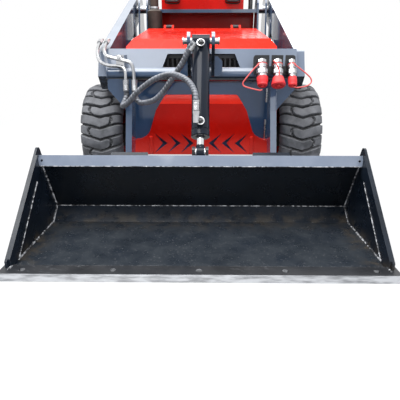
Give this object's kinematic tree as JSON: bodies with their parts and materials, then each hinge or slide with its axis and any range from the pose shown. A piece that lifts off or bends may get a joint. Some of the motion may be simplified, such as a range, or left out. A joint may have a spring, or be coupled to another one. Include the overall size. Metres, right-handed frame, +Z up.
{
  "type": "stand-on mini wheel loader with bucket",
  "caption": "Stand-on mini wheel loader with lug tyres, side lift arms, a centre tilt cylinder, a wide bucket and a fold-up operator platform.",
  "frame": {"origin": "centre of the machine's footprint on the ground, at rest with the bucket on the ground", "axes": "+X across the machine to the right of someone facing its front, +Y from the bucket to the operator's platform, +Z up"},
  "size_m": [1.232, 2.258, 1.2151],
  "materials": {
    "frame_paint": "gloss",
    "red_paint": "gloss",
    "engine_iron": "satin",
    "tank_plastic": "satin",
    "black_steel": "gloss",
    "black_plastic": "satin",
    "pad_foam": "matte",
    "bright_steel": "gloss",
    "cap_rubber": "satin",
    "hose_rubber": "matte",
    "chrome": "gloss",
    "bucket_steel": "satin",
    "edge_steel": "matte",
    "tyre_rubber": "matte"
  },
  "bodies": {
    "chassis": {"chassis_frame": "frame_paint", "front_panel": "frame_paint", "front_cowl": "red_paint", "arm_towers": "frame_paint", "side_covers": "red_paint", "engine_block": "engine_iron", "fuel_tank": "tank_plastic", "hydraulic_tank": "frame_paint", "rear_panel": "red_paint", "exhaust": "black_steel", "wheel_motors": "engine_iron", "console": "red_paint", "levers": "black_plastic", "grab_rail": "black_steel", "thigh_pad": "pad_foam", "work_lamps": "black_plastic", "hood_hinges": "black_steel", "arm_pins": "bright_steel"},
    "hood": {"hood": "red_paint", "hood_grille": "black_steel"},
    "platform": {"platform": "black_steel"},
    "lift_arm": {"lift_arm": "frame_paint", "tilt_pin": "bright_steel", "coupler_bracket": "black_steel", "quick_couplers": "bright_steel", "coupler_caps": "cap_rubber", "steel_pipes": "bright_steel", "pipe_clamp": "black_steel", "tilt_hose_rod": "hose_rubber", "tilt_hose_base": "hose_rubber"},
    "lift_barrel_l": {"lift_barrel_left": "black_steel"},
    "lift_barrel_r": {"lift_barrel_right": "black_steel"},
    "lift_rod_l": {"lift_rod_left": "chrome"},
    "lift_rod_r": {"lift_rod_right": "chrome"},
    "tilt_barrel": {"tilt_barrel": "black_steel"},
    "tilt_rod": {"tilt_rod": "chrome"},
    "tool": {"quick_attach": "black_steel", "tool_pins": "bright_steel", "bucket_shell": "bucket_steel", "bucket_top_bar": "frame_paint", "cutting_edge": "edge_steel", "bucket_receiver": "bucket_steel"},
    "wheel_fl": {"tyre_fl": "tyre_rubber", "rim_fl": "red_paint"},
    "wheel_fr": {"tyre_fr": "tyre_rubber", "rim_fr": "red_paint"},
    "wheel_rl": {"tyre_rl": "tyre_rubber", "rim_rl": "red_paint"},
    "wheel_rr": {"tyre_rr": "tyre_rubber", "rim_rr": "red_paint"}
  },
  "joints": [
    {"name": "wheel_fl_spin", "type": "hinge", "parent": "chassis", "child": "wheel_fl", "pos_m": [0.471, -0.078, 0.254], "axis": [1, 0, 0], "continuous": true},
    {"name": "wheel_fr_spin", "type": "hinge", "parent": "chassis", "child": "wheel_fr", "pos_m": [-0.471, -0.078, 0.254], "axis": [1, 0, 0], "continuous": true},
    {"name": "wheel_rl_spin", "type": "hinge", "parent": "chassis", "child": "wheel_rl", "pos_m": [0.471, 0.642, 0.254], "axis": [1, 0, 0], "continuous": true},
    {"name": "wheel_rr_spin", "type": "hinge", "parent": "chassis", "child": "wheel_rr", "pos_m": [-0.471, 0.642, 0.254], "axis": [1, 0, 0], "continuous": true},
    {"name": "arm_lift", "type": "hinge", "parent": "chassis", "child": "lift_arm", "pos_m": [0, 0.695, 0.93], "axis": [-1, 0, 0], "range_deg": [0, 70]},
    {"name": "lift_barrel_l_swing", "type": "hinge", "parent": "chassis", "child": "lift_barrel_l", "pos_m": [0.4405, 0.265, 0.22], "axis": [1, 0, 0], "range_deg": [0, 13.5]},
    {"name": "lift_rod_l_slide", "type": "slide", "parent": "lift_barrel_l", "child": "lift_rod_l", "axis": [0, 0.4811, 0.8767], "range_m": [0, 0.2009]},
    {"name": "lift_barrel_r_swing", "type": "hinge", "parent": "chassis", "child": "lift_barrel_r", "pos_m": [-0.4405, 0.265, 0.22], "axis": [1, 0, 0], "range_deg": [0, 13.5]},
    {"name": "lift_rod_r_slide", "type": "slide", "parent": "lift_barrel_r", "child": "lift_rod_r", "axis": [0, 0.4811, 0.8767], "range_m": [0, 0.2009]},
    {"name": "tool_tilt", "type": "hinge", "parent": "lift_arm", "child": "tool", "pos_m": [0, -0.535, 0.11], "axis": [1, 0, 0], "range_deg": [-10, 105]},
    {"name": "tilt_barrel_swing", "type": "hinge", "parent": "lift_arm", "child": "tilt_barrel", "pos_m": [0, -0.375, 0.7], "axis": [1, 0, 0], "range_deg": [-2, 11.5], "deforming": ["tilt_hose_rod", "tilt_hose_base"]},
    {"name": "tilt_rod_slide", "type": "slide", "parent": "tilt_barrel", "child": "tilt_rod", "axis": [0, -0.5463, -0.8376], "range_m": [-0.031, 0.3075]},
    {"name": "hood_open", "type": "hinge", "parent": "chassis", "child": "hood", "pos_m": [0, 0.448, 0.808], "axis": [-1, 0, 0], "range_deg": [0, 60]},
    {"name": "platform_fold", "type": "hinge", "parent": "chassis", "child": "platform", "pos_m": [0, 0.838, 0.197], "axis": [1, 0, 0], "range_deg": [0, 90]}
  ],
  "couplings": [
    {"joint": "lift_barrel_l_swing", "follows": "arm_lift", "ratio": 0.18823},
    {"joint": "lift_rod_l_slide", "follows": "arm_lift", "m_per_rad": 0.16361},
    {"joint": "lift_barrel_r_swing", "follows": "arm_lift", "ratio": 0.18823},
    {"joint": "lift_rod_r_slide", "follows": "arm_lift", "m_per_rad": 0.16361},
    {"joint": "tilt_barrel_swing", "follows": "tool_tilt", "ratio": 0.10467},
    {"joint": "tilt_rod_slide", "follows": "tool_tilt", "m_per_rad": 0.16724}
  ]
}
